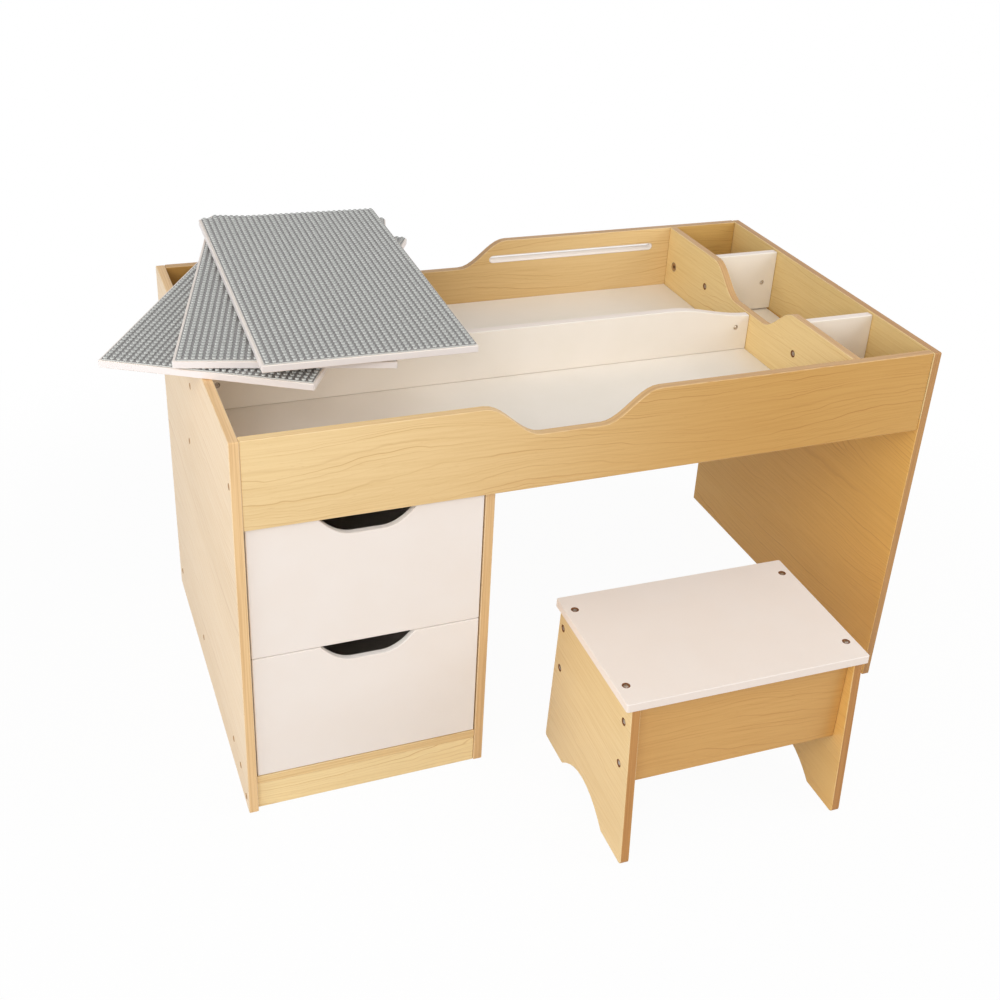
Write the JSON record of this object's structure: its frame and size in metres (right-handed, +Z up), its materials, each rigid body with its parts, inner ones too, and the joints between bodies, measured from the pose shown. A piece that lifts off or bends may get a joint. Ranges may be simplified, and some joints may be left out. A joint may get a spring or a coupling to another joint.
{
  "type": "building block table",
  "caption": "Children's play table with a divided tray, side caddy and drawer cabinet, loose stud boards resting on its rim and a stool with splayed legs.",
  "frame": {"origin": "on the floor, under the middle of the whole set's box", "axes": "+X along the table to its caddy side, +Y from the front apron to the back panel, +Z up"},
  "size_m": [1.0494, 0.9126, 0.5734],
  "materials": {
    "maple_laminate": "satin maple-effect laminate on board",
    "white_laminate": "satin white laminate on board",
    "stud_plastic": "glossy moulded grey",
    "runner_plastic": "matt extruded grey",
    "white_plastic": "satin moulded white",
    "steel": "zinc-plated"
  },
  "bodies": {
    "table": {"left_side_panel": "maple_laminate", "right_side_panel": "maple_laminate", "front_apron": "maple_laminate", "back_panel": "maple_laminate", "paper_slot_liner": "white_plastic", "tray_floor": "white_laminate", "inner_divider": "white_laminate", "caddy_divider": "maple_laminate", "caddy_partition_front": "white_laminate", "caddy_partition_rear": "white_laminate", "caddy_floor": "white_laminate", "cabinet_upright": "maple_laminate", "cabinet_bottom": "maple_laminate", "cabinet_plinth": "maple_laminate", "cabinet_rear_plinth": "maple_laminate", "cabinet_back": "white_laminate", "runner_lower_left": "runner_plastic", "runner_lower_right": "runner_plastic", "runner_upper_left": "runner_plastic", "runner_upper_right": "runner_plastic", "caddy_bolt_front": "steel", "caddy_bolt_rear": "steel", "caddy_cam": "steel", "divider_cam_left": "steel", "divider_cam_right": "steel", "partition_cam": "steel"},
    "drawer_lower": {"drawer_lower_front": "white_laminate", "drawer_lower_left_side": "white_laminate", "drawer_lower_right_side": "white_laminate", "drawer_lower_back": "white_laminate", "drawer_lower_bottom": "white_laminate"},
    "drawer_upper": {"drawer_upper_front": "white_laminate", "drawer_upper_left_side": "white_laminate", "drawer_upper_right_side": "white_laminate", "drawer_upper_back": "white_laminate", "drawer_upper_bottom": "white_laminate"},
    "board_bottom": {"board_bottom_panel": "white_laminate", "board_bottom_plate": "stud_plastic"},
    "board_middle": {"board_middle_panel": "white_laminate", "board_middle_plate": "stud_plastic"},
    "board_top": {"board_top_panel": "white_laminate", "board_top_plate": "stud_plastic"},
    "stool": {"stool_seat": "white_laminate", "stool_leg_left": "maple_laminate", "stool_leg_right": "maple_laminate", "stool_rail_front": "maple_laminate", "stool_rail_rear": "maple_laminate", "seat_bolt_front_left": "steel", "seat_bolt_front_right": "steel", "seat_bolt_rear_left": "steel", "seat_bolt_rear_right": "steel", "leg_bolt_front_left_upper": "steel", "leg_bolt_front_left_lower": "steel", "leg_bolt_rear_left_upper": "steel", "leg_bolt_rear_left_lower": "steel", "leg_bolt_front_right_upper": "steel", "leg_bolt_front_right_lower": "steel", "leg_bolt_rear_right_upper": "steel", "leg_bolt_rear_right_lower": "steel"}
  },
  "joints": [
    {"name": "drawer_lower_slide", "type": "slide", "parent": "table", "child": "drawer_lower", "axis": [0, -1, 0], "range_m": [0, 0.33]},
    {"name": "drawer_upper_slide", "type": "slide", "parent": "table", "child": "drawer_upper", "axis": [0, -1, 0], "range_m": [0, 0.33]},
    {"name": "board_bottom_lift", "type": "slide", "parent": "table", "child": "board_bottom", "axis": [0, 0, 1], "range_m": [0, 0.25]},
    {"name": "board_middle_lift", "type": "slide", "parent": "board_bottom", "child": "board_middle", "axis": [0, 0, 1], "range_m": [0, 0.25]},
    {"name": "board_top_lift", "type": "slide", "parent": "board_middle", "child": "board_top", "axis": [0, 0, 1], "range_m": [0, 0.25]},
    {"name": "stool_slide", "type": "slide", "parent": "table", "child": "stool", "axis": [0, 1, 0], "range_m": [-0.3, 0.24]}
  ]
}
